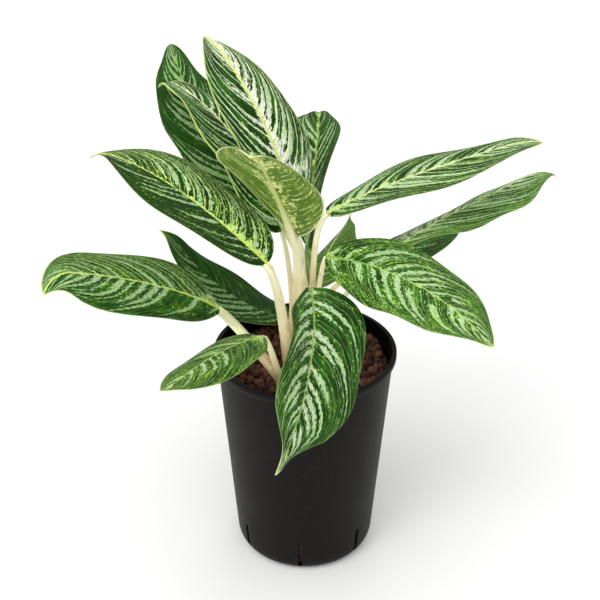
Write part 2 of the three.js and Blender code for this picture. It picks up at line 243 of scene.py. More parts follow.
# The look of a blade, in millimetres where it is a width; a pair is for the left and the right
# half. Silver bands: bands is the share that shows, wide their width, dull how far they sink into
# the green, torn how rough their edges are, reach how much further than usual they run. Thin
# veins: veins is how pale they are, fine how many short lines stand between them, pitch a factor
# on their spacing, bold their extra half width. Cream: core is the width beside the midrib, wedge
# the strength of the patch that fans out from the foot over the share fan of the length, tone 0
# for silver to 1 for cream. Ground: deep is 0 for mid green to 1 for the darkest, fresh the share
# of a light yellowish green, lime that of yellow-green flecks. Lines: rib is the midrib's colour,
# ribWide its half width, rim and rimWide how pale and wide the margin is, tip how pale it is at
# the tip. point narrows the tip, and green is 1 for a green stalk.
lookDefaults = Settings(bands=0.6, wide=0.5, dull=0.0, torn=1.0, reach=0.0, veins=0.5, fine=0.4,
                        pitch=1.0, bold=0.0, core=2.0, wedge=0.17, fan=0.14, tone=0.2, deep=0.6,
                        fresh=0.0, lime=0.4, rib="lime", ribWide=0.2, rim=0.35, rimWide=0.3,
                        tip=1.0, point=0.1, green=0.0)

leaves = [
    leafRow("crown", (-7, -17, 308), (150, 81, 61, 1.15, -25), (3, 7), (173, 76),
        (0.7, 0.95, -0.2, -0.05), (10, 23), (1, 2.2, 90),
        ("right", 196, 2, 0.3, 0.45, 0.15, 2.6, 2.2),
        bands=(0.6, 1.0), wide=(0.7, 0.9), torn=1.1, veins=1.0, fine=(0.15, 0.9), pitch=1.8,
        bold=0.5, core=(3.6, 6.8), wedge=(0.13, 0.25), fan=0.75, tone=0.95, ribWide=1.2, rim=0.9,
        rimWide=0.8),
    leafRow("back_left", (-31, 35, 300), (147, 37, 9, 1.65, -45), (-18, 11), (182, 58),
        (0.55, 0.85, -0.15, 0.05), (7, 28), (3.5, 3.2, -40),
        ("right", 190, 1, 0, 0.5, 0.4, 2.6, 1.8),
        bands=0.9, wide=(0.95, 0.85), dull=0.4, torn=0.85, reach=0.1, veins=0.15, fine=0.05,
        pitch=1.6, core=0.5, tone=0.05, deep=0.75, lime=0.15, rib="green", tip=0.0),
    leafRow("upper_left", (-18, 14, 290), (146, 71, 76, 1.05, -14), (0, 13), (182, 63),
        (0.65, 1.05, 0.2, -0.05), (9, 41), (2, 2.9, 80),
        ("main", 198, 1, 0, 0.75, 0.15, 2.3, 1.8),
        bands=(0.5, 0.65), wide=0.7, veins=1.0, fine=(0.0, 0.2), pitch=2.6, bold=0.5,
        core=(1.6, 2.6), tone=0.5, lime=0.3, rib="cream", rim=1.0, rimWide=1.1),
    leafRow("left", (-28, -67, 304), (142, 26, 29, 2.1, 9), (1, -2), (179, 69),
        (0.7, 1.15, 0, -0.05), (14, 41), (3.5, 1.5, -40),
        ("main", 178, 5, 0.75, 0.3, 0.1, 4.7, 3.3),
        bands=(0.75, 0.8), wide=0.6, torn=0.9, reach=0.1, veins=(0.1, 1.0), fine=(0.15, 0.9),
        pitch=1.15, bold=0.05, core=(0.8, 2.0), wedge=(0.1, 0.18), fan=0.5, tone=0.05, deep=1.1,
        lime=0.8),
    leafRow("underside", (-7, -70, 328), (244, 59, 32, 1.15, 24), (-22, 11), (166, 76),
        (0.9, 1.05, -0.1, 0.02), (9, 26), (1, 1.7, 170),
        ("main", 200, 1, 0.35, 0.4, 0.25, 5.0, 4.4),
        wide=0.6, tone=0.4),
    leafRow("back_centre", (2, 25, 270), (76, 92, 106, 0.75, 16), (-65, 74), (159, 61),
        (0.65, 1.05, -0.1, 0.05), (26, 20), (4, 1.4, 150),
        ("right", 192, 2, 0.3, 0.45, 0.2, 3.2, 5.4),
        bands=0.85, wide=(0.85, 0.75), torn=0.9, reach=0.15, veins=0.4, fine=0.1, pitch=1.5,
        tone=0.05, deep=0.8, fresh=0.1, lime=0.2, rib="green", ribWide=0.4, tip=0.4, green=1.0),
    leafRow("right_upper", (16, 2, 311), (13, 28, 20, 0.5, 2), (-3, 2), (182, 57),
        (0.55, 0.7, 0.1, 0), (6, 21), (2, 1.8, 170), ("right", 200, 1, 0.35, 0.5, 0.12, 2.8, 2.2),
        bands=0.85, wide=(0.9, 0.85), torn=0.8, reach=0.2, veins=0.8, fine=(0.35, 0.4), pitch=1.4,
        bold=0.15, core=2.6, tone=0.3, deep=0.7, fresh=0.1, lime=0.7, ribWide=0.0),
    leafRow("right_middle", (67, -15, 288), (55, 1, -23, 1.5, -41), (-24, 10), (182, 72),
        (0.75, 0.9, 0.4, 0), (-4, 69), (1.5, 2.7, 170), ("right", 192, 1, 0, 0.6, 0.35, 2.6, 2.0),
        bands=(0.9, 0.85), wide=(0.9, 0.85), torn=0.8, reach=0.15, veins=0.9, fine=(0.45, 0.5),
        pitch=1.5, bold=0.2, core=3.0, tone=0.3, deep=0.1, fresh=0.25, lime=0.7, ribWide=-0.1),
    leafRow("right_shaded", (47, 39, 232), (47, 13, 25, 0.95, -2), (-2, -1), (145, 48),
        (0.7, 1.05, 0, 0), (5, 3), (0.5, 2.3, -20), ("right", 186, 1, 0.2, 0.5, 0.3, 2.6, 2),
        bands=0.3, wide=0.3, veins=0.3, fine=0.3, tone=0, lime=0.3, rib="green"),
    leafRow("right_front", (15, -36, 293), (-22, 10, 23, 0.5, -43), (19, -26), (159, 73),
        (0.55, 0.8, 0.15, 0.05), (2, -5), (1.5, 2.5, -160),
        ("right", 194, 1, 1, 0.3, 0.03, 2.2, 1.9),
        bands=(0.85, 0.8), wide=0.9, veins=(0.45, 0.4), fine=0.7, core=1.5, tone=0.15, deep=0.35,
        lime=1.0, rib="green", ribWide=0.3),
    leafRow("front", (3, -65, 283), (278, 2, 34, 0.5, -34), (-27, -48), (165, 76),
        (0.75, 0.85, 0.3, 0.2), (20, -16), (4.5, 1.8, 40),
        ("main", 186, 3, 1, 0.3, 0.03, 3.4, 2.4),
        bands=(0.9, 0.85), wide=(0.95, 0.9), veins=(0.35, 0.4), fine=(0.45, 0.5), pitch=1.2,
        core=1.5, tone=0.4, deep=0.55, lime=0.6, rib="green", ribWide=0.6, point=0.5),
    leafRow("small_front", (-32, -61, 239), (228, 17, 23, 0.7, 9), (7, 13), (112, 56),
        (0.7, 0.75, -0.1, 0.05), (-1, -21), (2, 1.3, -70),
        ("left", 182, 3, 0.9, 0.25, 0.08, 3, 2.2),
        bands=(0.7, 0.6), wide=(0.7, 0.65), reach=0.1, veins=(0.4, 0.5), fine=0.5, core=0.9,
        tone=0.15, deep=0.3, fresh=0.3, lime=0.9, ribWide=0.0),
    leafRow("left_lower", (-64, -54, 258), (219, 46, 23, 0.5, 8), (-33, 2), (173, 58),
        (0.65, 0.75, -0.2, 0), (3, 95), (3, 1.4, -130),
        ("left", 180, 1, 0.8, 0.35, 0.15, 4.8, 3.6),
        bands=(0.7, 0.85), wide=(0.8, 0.7), dull=0.1, reach=0.25, veins=(0.1, 1.0),
        fine=(0.35, 0.9), pitch=1.3, bold=0.15, core=(0.8, 1.4), wedge=(0.1, 0.25), fan=0.3,
        tone=0.15, deep=0.45, lime=0.8),
    # back_lower: its dark ground (deep) and dulled bands (dull) are partly the leaf's own dark
    # green and partly painted shade for where it lies, low at the back
    leafRow("back_lower", (-13, 34, 198), (142, -15, -77, 0.9, 20), (2, -3), (148, 54),
        (0.7, 1.05, 0, 0), (5, 55), (2, 2.2, -70), ("main", 178, 3, 0.8, 0.3, 0.2, 2.8, 1.9),
        bands=(1.0, 0.05), wide=(0.75, 0.5), dull=0.5, torn=1.2, reach=0.3, veins=0.1,
        fine=(0.2, 0.05), pitch=1.3, core=0.02, tone=0.0, deep=0.9, lime=0.1, rib="green",
        ribWide=-0.4),
    leafRow("back_right", (11, 40, 224), (87, 10, -12, 1.6, -34), (-8, -47), (96, 53),
        (0.7, 0.8, 0, 0), (0, -46), (1, 3.2, -90), ("right", 188, 2, 0.4, 0.4, 0.2, 2.6, 1.8),
        bands=0.1, wide=0.3, veins=0.4, fine=0.1, tone=0.3, deep=-0.2, fresh=0.75, lime=0.1,
        rib="cream"),
]


def leafAxes(leaf, u):
    # along: the midrib's direction, by its heading and its lift less the droop and the hook;
    # side: level and square to it, turned about it by the roll; up: square to both
    hookStart, hookShare, hookEase = 0.82, 0.18, 1.5
    hook = leaf.hook * np.clip((u - hookStart) / hookShare, 0, 1) ** hookEase
    climb = np.radians(leaf.lift - leaf.droop * u ** leaf.ease - hook)
    heading = np.radians(leaf.heading + leaf.sweep * u)
    turn = np.radians(leaf.roll + leaf.twist * u)[:, None]
    level = np.stack([-np.sin(heading), np.cos(heading), 0 * heading], -1)
    along = np.stack([np.cos(climb) * np.cos(heading), np.cos(climb) * np.sin(heading),
                      np.sin(climb)], -1)
    above = np.cross(along, level)
    side = level * np.cos(turn) + above * np.sin(turn)
    return along, side, above * np.cos(turn) - level * np.sin(turn)


def midrib(leaf, u):
    # the running sum of the direction from the foot of the blade, in millimetres
    fine = 256
    along, _, _ = leafAxes(leaf, (np.arange(fine) + 0.5) / fine)
    path = np.concatenate([np.zeros((1, 3)), np.cumsum(along, 0)]) * leaf.length / fine
    at = np.linspace(0, 1, fine + 1)
    line = np.stack([np.interp(u, at, path[:, k]) for k in range(3)], -1)
    return line + np.array(leaf.base, float)


def outlineShare(leaf, u):
    # u^belly (1-u)^taper, scaled so that the widest place is 1
    belly, taper = leaf.belly, leaf.taper
    peak = belly / (belly + taper)
    return (u ** belly * (1 - u) ** taper) / (peak ** belly * (1 - peak) ** taper)


# Lengths are in millimetres. crowd: how the columns crowd towards the midrib; quilts: ridges
# along the blade; pointAt: where the tip starts and ends drawing in; cup: how hollow; lag: degrees
# from one margin's ripple to the other's; full: half width from which they ripple fully;
# veinReach, veinTurn: how far the veins bend forward, and how soon.
bladeShape = Settings(rows=130, columns=24, crowd=1.4, lastColumn=0.985, thick=0.55, keel=0.5,
                      keelWidth=2.2, quilt=0.2, quilts=22, footHalf=2.0, tipHalf=0.15,
                      pointAt=(0.76, 0.93), cup=0.17, creaseRound=0.04, lag=120.0, full=12.0,
                      veinReach=0.42, veinTurn=3.5)


def buildBlade(leaf, number):
    shape = bladeShape
    u = np.linspace(0, 1, shape.rows)
    columns = np.linspace(0, 1, shape.columns) ** shape.crowd * shape.lastColumn
    reach = np.append(columns, 1.0)
    v = np.concatenate([-reach[:0:-1], reach])
    uu, vv = u[:, None], v[None, :]
    size, hand = np.abs(vv), np.sign(vv)
    _, side, up = leafAxes(leaf, u)
    # half width: the outline, read later on one half and earlier on the other, one half wider
    share = np.where(vv > 0, outlineShare(leaf, u ** (1 - leaf.skew))[:, None],
                     outlineShare(leaf, u ** (1 + leaf.skew))[:, None])
    share = share * (1 + hand * leaf.uneven)
    # the last fifth is drawn in to a narrow point
    drawn = 1 - leaf.point * np.interp(uu, [*shape.pointAt, 1.0], [0.0, 1.0, 1.0])
    half = leaf.width / 2 * share * drawn + shape.footHalf * (1 - uu) + shape.tipHalf * uu
    # a lateral vein leaves the midrib at the place named vein and bends forward to the margin
    bent = shape.veinReach * (0.5 * size + 0.5 * size ** 3)
    vein = uu - bent * (1 - np.exp(-shape.veinTurn * uu))
    # height over the midrib: the V of the fold, less the cup, and the ripple of the margins
    fold = math.radians(leaf.fold)
    crease = np.sqrt(size ** 2 + shape.creaseRound ** 2) - shape.creaseRound
    lift = half * crease * math.sin(fold) - shape.cup * half * size ** 2
    lag = np.where(vv > 0, 0, shape.lag)
    swing = np.sin(2 * np.pi * leaf.waves * uu + np.radians(leaf.phase + lag))
    lift = lift + leaf.wave * swing * size ** 3 * np.minimum(1, half / shape.full)
    # low ridges between the lateral veins, gone at the midrib, the margin and both ends
    ridge = np.sin(np.pi * uu) ** 0.5 * size * (1 - size) * 4
    lift = lift + shape.quilt * np.cos(2 * np.pi * shape.quilts * vein) * ridge
    out = half * vv * math.cos(fold)
    upper = (midrib(leaf, u)[:, None, :] + side[:, None, :] * out[..., None]
             + up[:, None, :] * lift[..., None])
    # thinner towards the margin, with a keel under the midrib that fades to the tip
    overRib = np.exp(-(vv * half / shape.keelWidth) ** 2)
    thick = shape.thick * (1.15 - 0.5 * size ** 4) + shape.keel * overRib * (1 - uu)
    lower = upper - up[:, None, :] * thick[..., None]
    ring = np.concatenate([upper, lower[:, ::-1]], 1)[:, ::-1]
    vertices, quads, fans = closedTube(ring * mm)
    # the first faces of each ring are the lower side; the two strips along the margins are upper
    count = len(v)
    below = (np.arange(2 * count) < count - 1).astype(int)
    slotOf = np.concatenate([np.tile(below, shape.rows - 1), np.zeros(len(fans), int)])
    piece = meshObject(leaf.node + "_leaf", vertices, [quads, fans],
                       [leafMaterial(leaf, number), undersideMaterial(leaf, number)], slotOf)

    def onRing(values):
        spread = np.broadcast_to(values, upper.shape[:2])
        both = np.concatenate([spread, spread[:, ::-1]], 1)[:, ::-1]
        return withHubs(both, shape.rows)

    pointValues(piece, "leafPlace", np.stack([onRing(uu), onRing(vv), onRing(vein)], -1))
    pointValues(piece, "fromRib", onRing(size * half))
    pointValues(piece, "fromEdge", onRing(half * (1 - size)))
    handOver(piece, "leaf", leaf.node)


# Noise on a blade: its grain across the veins and along them in millimetres, its detail and
# roughness, and a shift that gives each its own pattern.
upperGrains = {
    "torn": (1.4, 1.8, 3.0, 0.7, 0.0), "flecks": (1.9, 2.5, 1.0, 0.5, 21.0),
    "grain": (0.9, 3.2, 3.0, 0.65, 3.0), "cloud": (11.0, 20.0, 2.0, 0.5, 6.0),
    "ground": (3.6, 16.0, 2.0, 0.5, 9.0), "broken": (3.2, 4.2, 3.0, 0.7, 12.0),
    "blotch": (4.5, 5.0, 3.0, 0.6, 24.0), "patch": (2.6, 9.0, 3.0, 0.6, 15.0),
    "holes": (1.0, 4.2, 2.0, 0.5, 27.0), "spot": (1.9, 2.6, 2.0, 0.5, 18.0)}
underGrains = {
    "torn": (0.8, 2.4, 3.0, 0.65, 0.0), "cloud": (14.0, 18.0, 2.0, 0.5, 6.0),
    "kept": (5.0, 9.0, 2.0, 0.6, 12.0), "patch": (3.2, 4.0, 3.0, 0.7, 15.0)}
# The stripes of both faces: how far, in millimetres, they wander slowly and waver quickly, where
# in its own strip a stripe may lie, and the grain of the two.
course = Settings(wander=7.0, waver=2.4, stray=(0.35, 0.65), grains={
    "wander": (18.0, 20.0, 1.0, 0.5, 0.0), "waver": (4.0, 4.5, 1.0, 0.5, 33.0)})


def leafPattern(g, leaf, number, grains):
    # the numbers that both faces share. p: place along the vein that a point lies on, q: distance
    # from the midrib, both in millimetres; the seed differs from half to half and leaf to leaf
    along, across, vein = g.separate(g.stored("leafPlace", "Vector"))
    q = g.stored("fromRib")
    left = g.calc("GREATER_THAN", across, 0.0)
    seed = g.timesPlus(left, 31.7, number * 7.3 + 0.5)
    p = g.times(vein, leaf.length)
    size = g.calc("ABSOLUTE", across)
    # run: how far along its vein a point lies, by its distances out from and along the midrib
    forward = g.times(g.minus(along, vein), leaf.length)
    run = g.calc("SQRT", g.plus(g.times(q, q), g.times(forward, forward)))

    def spread(name):
        acrossVeins, alongVeins, detail, rough, shift = {**course.grains, **grains}[name]
        place = g.combine(g.over(p, acrossVeins), g.over(run, alongVeins), g.plus(seed, shift))
        return g.noise(place, 1.0, detail, rough)

    def half(pair, factor=1.0):
        # the left half's number or the right half's, or one number for both
        a, b = (factor * value for value in (pair if isinstance(pair, tuple) else (pair, pair)))
        return g.between(left, b, a)

    wander = g.minus(spread("wander"), 0.5)
    waver = g.minus(spread("waver"), 0.5)
    steered = g.timesPlus(waver, course.waver, g.timesPlus(wander, course.wander, p))

    def stripes(spacing, shift):
        # distance from the nearest stripe in millimetres, and three random numbers for it
        place = g.over(steered, spacing)
        index = g.calc("FLOOR", place)
        picks = g.chance(g.plus(g.plus(index, seed), shift))
        middle = g.between(picks[0], *course.stray)
        gap = g.calc("ABSOLUTE", g.minus(g.minus(place, index), middle))
        return g.times(gap, spacing), picks

    return along, size, q, half, spread, stripes


ribColours = palette(lime=(212, 230, 88), green=(116, 166, 56), cream=(230, 232, 150))

# The upper face. bands, veins, lines: spacing in millimetres and shift of the stripes; bandVary,
# bandThin: factors on a band's half width, from band to band and at the margin; bandStart,
# bandEnd: where it may start and end, from 0 at the midrib to 1 at the margin. The pairs named
# At, Edge or From are levels, from none to full, of what the line that uses them measures;
# the other pairs are the least and the most of what they name.
upperLook = Settings(bands=(10.6, 0.0), veins=(6.1, 11.0), lines=(3.2, 23.0), bandHalf=3.3,
                     bandVary=(0.4, 1.3), bandThin=0.55, bandStart=(-0.42, 0.38),
                     startFade=0.12, bandEnd=(0.5, 1.05), endFade=0.3, flecksTear=8.0,
                     noiseTear=4.5, grainAt=(0.38, 0.58), freshAt=(0.6, 1.1),
                     bandEdge=(-0.1, 0.3), bandAt=(0.1, 0.5), toneAt=(0.05, 0.6),
                     lineEdge=(0.12, 0.45), coreAt=(0.91, 0.96), holesAt=(0.51, 0.6),
                     ribEdge=(-0.15, 0.3), tipFrom=(0.88, 1.0), tipAt=(0.86, 0.95),
                     tipWide=(0.42, 2.22), creamy=(0.12, 0.87), worn=0.5, missing=(0.72, 0.48),
                     veinShow=(0.5, 1.0), coreShow=(0.97, 0.22), ribShow=(0.6, 0.95),
                     gloss=(0.32, 0.52))


def leafMaterial(leaf, number):
    colour = palette(deep=(28, 61, 19), mid=(55, 111, 34), pale=(158, 206, 116),
                     silver=(176, 212, 150), cream=(253, 255, 236), lime=(190, 228, 78),
                     edge=(190, 214, 122), tip=(232, 236, 176), fresh=(122, 156, 74))
    look, tone, bold, pitch = upperLook, leaf.tone, leaf.bold, leaf.pitch
    g = Graph("leafUpper_" + leaf.node, 0.42, 0.03)
    along, size, q, half, spread, stripes = leafPattern(g, leaf, number, upperGrains)
    torn = g.minus(spread("torn"), 0.5)
    flecks = g.minus(spread("flecks"), 0.5)
    grain = g.rise(spread("grain"), *look.grainAt)
    cloud = spread("cloud")
    # green ground: darkest between the veins, a little fresher in clouds
    ground = g.timesPlus(spread("ground"), 0.9, g.times(cloud, 0.9))
    darkest = 0.5 + 0.4 * leaf.deep
    g.paint = g.blend(g.rise(ground, darkest, darkest + 0.5), colour.deep, colour.mid)
    fresh = g.times(g.rise(ground, *look.freshAt), leaf.fresh)
    g.coat(fresh, colour.fresh)
    # broad silver bands: each has its own width and length, with edges torn by the noise
    gap, picks = stripes(*look.bands)
    wide = g.times(half(leaf.wide, look.bandHalf), g.between(picks[1], *look.bandVary))
    wide = g.times(wide, g.between(g.times(size, size), 1.0, look.bandThin))
    shows = g.calc("GREATER_THAN", half(leaf.bands), picks[2])
    end = g.between(picks[0], *(place + leaf.reach for place in look.bandEnd))
    wide = g.times(wide, g.fall(size, g.minus(end, look.endFade), end))
    start = g.between(picks[1], *(place - leaf.reach for place in look.bandStart))
    wide = g.times(wide, g.rise(size, g.minus(start, look.startFade), start))
    ragged = g.timesPlus(flecks, look.flecksTear * leaf.torn, g.times(torn, look.noiseTear))
    spare = g.minus(g.plus(ragged, wide), gap)
    shows = g.times(shows, g.rise(wide, *look.bandAt))
    band = g.times(g.rise(spare, *look.bandEdge), shows)
    # near the midrib they turn to cream
    creamy = g.times(g.between(g.fall(size, *look.toneAt), *look.creamy), tone)
    silver = g.blend(creamy, colour.silver, colour.cream)
    worn = g.between(grain, look.worn + 0.15 * tone, 1.0)
    g.coat(g.times(g.times(band, worn), 1.0 - leaf.dull), silver)
    # thin pale lateral veins, and shorter broken lines between them
    spacing, shift = look.veins
    gap, picks = stripes(spacing * pitch, shift)
    line = g.fall(g.timesPlus(torn, -1.6 - 3.0 * bold, gap), 0.1 + bold, 0.5 + bold)
    line = g.times(line, g.between(picks[1], *look.veinShow))
    g.coat(g.times(line, half(leaf.veins)),
           g.blend(0.38 + 0.4 * tone, colour.lime, colour.cream))
    spacing, shift = look.lines
    gap, picks = stripes(spacing * pitch, shift)
    missing = g.between(half(leaf.fine), *look.missing)
    kept = g.rise(g.timesPlus(picks[1], 0.12, spread("broken")), missing, g.plus(missing, 0.06))
    line = g.times(g.fall(g.timesPlus(torn, -1.4, gap), *look.lineEdge), kept)
    ink = g.blend(picks[2], g.blend(tone, colour.pale, colour.cream), colour.lime)
    g.coat(g.times(line, 0.75), ink)
    # cream beside the midrib, in patches drawn out along the veins
    near = g.calc("EXPONENT", g.over(g.times(q, -1.0), half(leaf.core)))
    patch = g.timesPlus(spread("patch"), 0.5, g.times(spread("blotch"), 0.5))
    patch = g.timesPlus(near, 0.42, patch)
    # and a wedge of it that fans out from the foot
    wedge = g.times(g.fall(g.timesPlus(size, 0.08, along), 0.02, leaf.fan), half(leaf.wedge))
    core = g.rise(g.plus(g.timesPlus(cloud, 0.35, patch), wedge), *look.coreAt)
    # small green holes make a net of it
    holes = g.rise(spread("holes"), *look.holesAt)
    g.coat(g.times(core, g.between(holes, *look.coreShow)),
           g.blend(0.15 + 0.85 * tone, colour.lime, colour.cream))
    # lime flecks in clusters
    spot = g.timesPlus(cloud, 0.35, spread("spot"))
    few = 0.93 - 0.12 * leaf.lime
    g.coat(g.times(g.rise(spot, few, few + 0.05), 0.9), colour.lime)
    # midrib, wider towards the foot, and the pale margin, wider at the tip
    remains = g.minus(1.0, along)
    ribHalf = g.timesPlus(g.calc("POWER", remains, 5.0), 1.2, leaf.ribWide)
    rib = g.fall(g.minus(q, ribHalf), *look.ribEdge)
    g.coat(g.times(rib, g.between(grain, *look.ribShow)), ribColours[leaf.rib])
    edge = g.stored("fromEdge")
    rim = g.fall(edge, 0.5 * leaf.rimWide, 1.5 * leaf.rimWide)
    g.coat(g.times(rim, leaf.rim), colour.edge)
    tipWide = g.between(g.rise(along, *look.tipFrom), *look.tipWide)
    tipRim = g.times(g.fall(edge, 0.4, tipWide), leaf.tip)
    g.coat(g.times(tipRim, g.rise(along, *look.tipAt)), colour.tip)
    g.toShader("Roughness", g.between(grain, *look.gloss))
    g.bump(g.timesPlus(torn, 0.4, g.fall(gap, 0.0, 0.9)), 0.15, 0.5 * mm)
    return g.done()


def undersideMaterial(leaf, number):
    # pairs named half... are for the left and the right half, the others are levels
    look = Settings(lines=(7.6, 11.0), cloudAt=(0.3, 0.7), halfWide=(0.15, 0.25),
                    halfFray=(-2.4, -1.0), lineEdge=(-0.1, 0.35), halfKept=(0.05, 0.25),
                    keptAt=(0.47, 0.58), halfFew=(-1.0, 0.4), core=7.0, patchAt=(0.80, 0.84),
                    ribEdge=(-0.4, 0.4), rim=(0.7, 1.2))
    colour = palette(olive=(118, 150, 52), dark=(82, 120, 34), cream=(246, 250, 168),
                     rib=(214, 214, 150), edge=(236, 234, 190))
    g = Graph("leafUnder_" + leaf.node, 0.55, 0.2)
    along, _, q, half, spread, stripes = leafPattern(g, leaf, number + 20, underGrains)
    torn = g.minus(spread("torn"), 0.5)
    cloud = spread("cloud")
    g.paint = g.blend(g.rise(cloud, *look.cloudAt), colour.dark, colour.olive)
    gap, picks = stripes(*look.lines)
    width = g.timesPlus(picks[1], 0.4, half(look.halfWide))
    frayed = g.times(torn, half(look.halfFray))
    line = g.fall(g.plus(frayed, g.minus(gap, width)), *look.lineEdge)
    kept = g.rise(g.plus(spread("kept"), half(look.halfKept)), *look.keptAt)
    kept = g.times(kept, g.calc("GREATER_THAN", picks[2], half(look.halfFew)))
    line = g.times(g.times(line, kept), g.timesPlus(picks[2], 0.3, 0.65))
    g.coat(line, colour.cream)
    near = g.calc("EXPONENT", g.over(q, -look.core))
    patch = g.timesPlus(near, 0.22, spread("patch"))
    patch = g.rise(g.timesPlus(cloud, 0.35, patch), *look.patchAt)
    g.coat(g.times(patch, 0.85), colour.cream)
    ribHalf = g.timesPlus(g.minus(1.0, along), 1.2, 0.5)
    rib = g.fall(g.minus(q, ribHalf), *look.ribEdge)
    g.coat(rib, colour.rib)
    g.coat(g.fall(g.stored("fromEdge"), *look.rim), colour.edge)
    g.bump(g.plus(g.fall(gap, 0.0, 1.2), torn), 0.2, 0.6 * mm)
    return g.done()


canes = {
    "main": Settings(foot=(-11, -16), top=(-9, -18, 206), radius=(7.0, 5.5)),
    "left": Settings(foot=(-14, -38), top=(-19, -39, 190), radius=(5.8, 5.2)),
    "right": Settings(foot=(4, -6), top=(3, -8, 206), radius=(6.0, 5.0)),
}
pebbleTop = 172.0
# depth: how far under the blade's upper face a stalk comes in, inside: how far into the blade;
# channel: how deep the groove on top of a stalk is at its foot and at channelAt of its length,
# as a share; keel: where on the blade the midrib's keel starts and ends
stalkShape = Settings(steps=46, ribSteps=40, sides=22, bottom=140.0, caneSteps=30, caneSides=32,
                      swell=0.04, joints=6, depth=1.4, inside=0.5, channel=(0.18, 0.25),
                      channelAt=0.75, channelWide=0.6, keel=(0.012, 0.93), keelEnd=0.55,
                      keelEase=2.6)


def petiolePath(leaf, steps):
    # a cubic curve from the cane: it leaves between upright and the line to the blade, and
    # comes in along the midrib
    own = canes[leaf.shoot]
    foot, top = np.array(own.foot, float), np.array(own.top[:2], float)
    axis = foot + (top - foot) * (leaf.joint - pebbleTop) / (own.top[2] - pebbleTop)
    along, _, up = (vector[0] for vector in leafAxes(leaf, np.array([0.0])))
    end = np.array(leaf.base, float) - along * stalkShape.inside - up * stalkShape.depth
    outward = end[:2] - axis
    outward = np.append(outward / np.linalg.norm(outward), 0.0)
    start = np.append(axis, leaf.joint) + outward * leaf.push
    length = np.linalg.norm(end - start)
    direction = (1 - leaf.lean) * np.array([0, 0, 1]) + leaf.lean * (end - start) / length
    leave = start + direction / np.linalg.norm(direction) * length * leaf.leave
    arrive = end - along * length * leaf.arrive
    t = np.linspace(0, 1, steps)[:, None]
    curve = ((1 - t) ** 3 * start + 3 * (1 - t) ** 2 * t * leave + 3 * (1 - t) * t ** 2 * arrive
             + t ** 3 * end)
    return curve, outward, up


def tubeAlong(path, facing, across, deep, channel, sides):
    # rings square to the path; facing is the side that looks up, where a channel is pressed in
    tangent = np.gradient(path, axis=0)
    tangent /= np.linalg.norm(tangent, axis=1)[:, None]
    wide = np.cross(tangent, facing)
    wide /= np.linalg.norm(wide, axis=1)[:, None]
    face = np.cross(wide, tangent)
    angle = 2 * np.pi * np.arange(sides) / sides
    fromFace = np.angle(np.exp(1j * (angle - np.pi / 2)))
    press = 1 - channel[:, None] * np.exp(-(fromFace / stalkShape.channelWide) ** 2)
    x, y = across[:, None] * np.cos(angle) * press, deep[:, None] * np.sin(angle) * press
    return path[:, None, :] + wide[:, None, :] * x[..., None] + face[:, None, :] * y[..., None]


def buildShoot(name):
    shape, own = stalkShape, canes[name]
    rings, sides = shape.caneSteps, shape.caneSides
    t = np.linspace(0, 1, rings)
    low, high = (*own.foot, shape.bottom), own.top
    path = np.stack([np.interp(t, [0, 1], pair) for pair in zip(low, high)], -1)
    radii = np.interp(t, [0, 1], own.radius)
    radii = radii * (1 + shape.swell * np.cos(2 * np.pi * t * shape.joints))
    facing = np.tile([0.0, 1.0, 0.0], (rings, 1))
    parts = [closedTube(tubeAlong(path, facing, radii, radii, np.zeros(rings), sides) * mm)]

    def placed(across, run, upward, green, sides):
        # for the material: how far across and along a stalk in millimetres, how far up it
        # (0 foot, 1 blade, 2 tip), and how green it is
        turn = 2 * np.pi * np.arange(sides) / sides
        columns = [across[:, None] * np.cos(turn)]
        columns += [np.repeat(value, sides) for value in (run, upward, 0 * run + green)]
        return [withHubs(column, len(run)) for column in columns]

    values = [placed(np.full(rings, 6.0), 60 * t, 0.05 * t, 0.0, sides)]
    for leaf in [row for row in leaves if row.shoot == name]:
        stem, outward, up = petiolePath(leaf, shape.steps)
        t = np.linspace(0, 1, shape.steps)
        # under the blade the stalk runs on as the midrib's keel and thins out towards the tip
        under = np.linspace(*shape.keel, shape.ribSteps)
        _, _, upUnder = leafAxes(leaf, under)
        thin = shape.keelEnd
        ribRadius = thin + (leaf.high - thin) * (1 - under) ** shape.keelEase
        rib = midrib(leaf, under) - upUnder * (0.32 + ribRadius * 0.62)[:, None]
        path = np.concatenate([stem, rib])
        facing = np.concatenate([(1 - t)[:, None] * -outward + t[:, None] * up, upUnder])
        across = np.concatenate([np.interp(t, [0, 1], [leaf.low, leaf.high]), ribRadius])
        deep = np.concatenate([np.interp(t, [0, 1], [leaf.low * 0.95, leaf.high]),
                               ribRadius * 0.75])
        # the channel on the upper side sinks below the blade's face where the two meet
        meet = 1 - 1.2 / leaf.high
        channel = np.concatenate([
            np.interp(t, [0, shape.channelAt, 1], [*shape.channel, meet]),
            np.interp(under, [0, 0.1, 0.2], [meet, 0.15, 0.0])])
        parts.append(closedTube(tubeAlong(path, facing, across, deep, channel, shape.sides) * mm))
        run = np.append(0, np.cumsum(np.linalg.norm(np.diff(path, axis=0), axis=1)))
        values.append(placed(across, run, np.concatenate([t, 1 + under]), leaf.green, shape.sides))
    vertices, quads, fans = joined(parts)
    piece = meshObject("stalks_" + name, vertices, [quads, fans], [stalkMaterial()])
    values = np.concatenate(values, 1)
    pointValues(piece, "stalkPlace", values[:3].T)
    pointValues(piece, "stalkGreen", values[3])
    handOver(piece, "stalk", "shoot_" + name)


